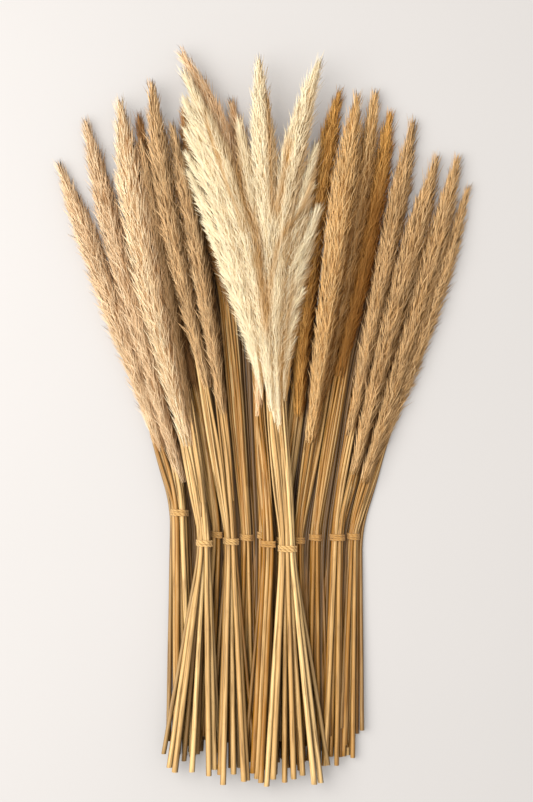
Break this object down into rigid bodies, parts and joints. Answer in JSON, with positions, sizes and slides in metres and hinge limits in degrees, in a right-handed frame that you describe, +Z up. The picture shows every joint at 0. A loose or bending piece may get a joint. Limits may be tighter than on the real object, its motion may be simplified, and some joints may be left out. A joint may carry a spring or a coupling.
{
  "type": "bundle of pampas grass",
  "caption": "Dried pampas grass lying on its back: small tied bunches of cut stems side by side, fanning out into long feathery tan, brown and cream plumes.",
  "frame": {"origin": "on the surface the bundle lies on, under the middle of its bounding box", "axes": "+Y from the cut ends of the stems to the tips of the plumes, +Z up"},
  "size_m": [0.8606, 1.5044, 0.1099],
  "materials": {
    "stem_straw": "dry straw-coloured stem, slightly glossy",
    "tie_twine": "twisted natural twine",
    "plume_tan": "soft dry hairs",
    "plume_brown": "soft dry hairs",
    "plume_cream": "soft dry hairs"
  },
  "bodies": {
    "root": {"bunch01_stems": "stem_straw", "bunch01_tie": "tie_twine", "bunch01_plume_a": "plume_tan", "bunch01_plume_b": "plume_tan", "bunch02_stems": "stem_straw", "bunch02_tie": "tie_twine", "bunch02_plume_a": "plume_tan", "bunch02_plume_b": "plume_tan", "bunch03_stems": "stem_straw", "bunch03_tie": "tie_twine", "bunch03_plume_a": "plume_brown", "bunch04_stems": "stem_straw", "bunch04_tie": "tie_twine", "bunch04_plume_a": "plume_tan", "bunch04_plume_b": "plume_tan", "bunch05_stems": "stem_straw", "bunch05_tie": "tie_twine", "bunch05_plume_a": "plume_brown", "bunch06_stems": "stem_straw", "bunch06_tie": "tie_twine", "bunch06_plume_a": "plume_tan", "bunch07_stems": "stem_straw", "bunch07_tie": "tie_twine", "bunch07_plume_a": "plume_tan", "bunch08_stems": "stem_straw", "bunch08_tie": "tie_twine", "bunch08_plume_a": "plume_brown", "bunch09_stems": "stem_straw", "bunch09_tie": "tie_twine", "bunch09_plumes": "plume_cream", "bunch10_stems": "stem_straw", "bunch10_tie": "tie_twine", "bunch10_plume_a": "plume_brown", "bunch10_plume_b": "plume_brown", "bunch11_stems": "stem_straw", "bunch11_tie": "tie_twine", "bunch11_plume_a": "plume_brown", "bunch12_stems": "stem_straw", "bunch12_tie": "tie_twine", "bunch12_plume_a": "plume_brown", "bunch12_plume_b": "plume_brown", "bunch13_stems": "stem_straw", "bunch13_tie": "tie_twine", "bunch13_plume_a": "plume_brown", "bunch13_plume_b": "plume_brown"}
  },
  "joints": []
}
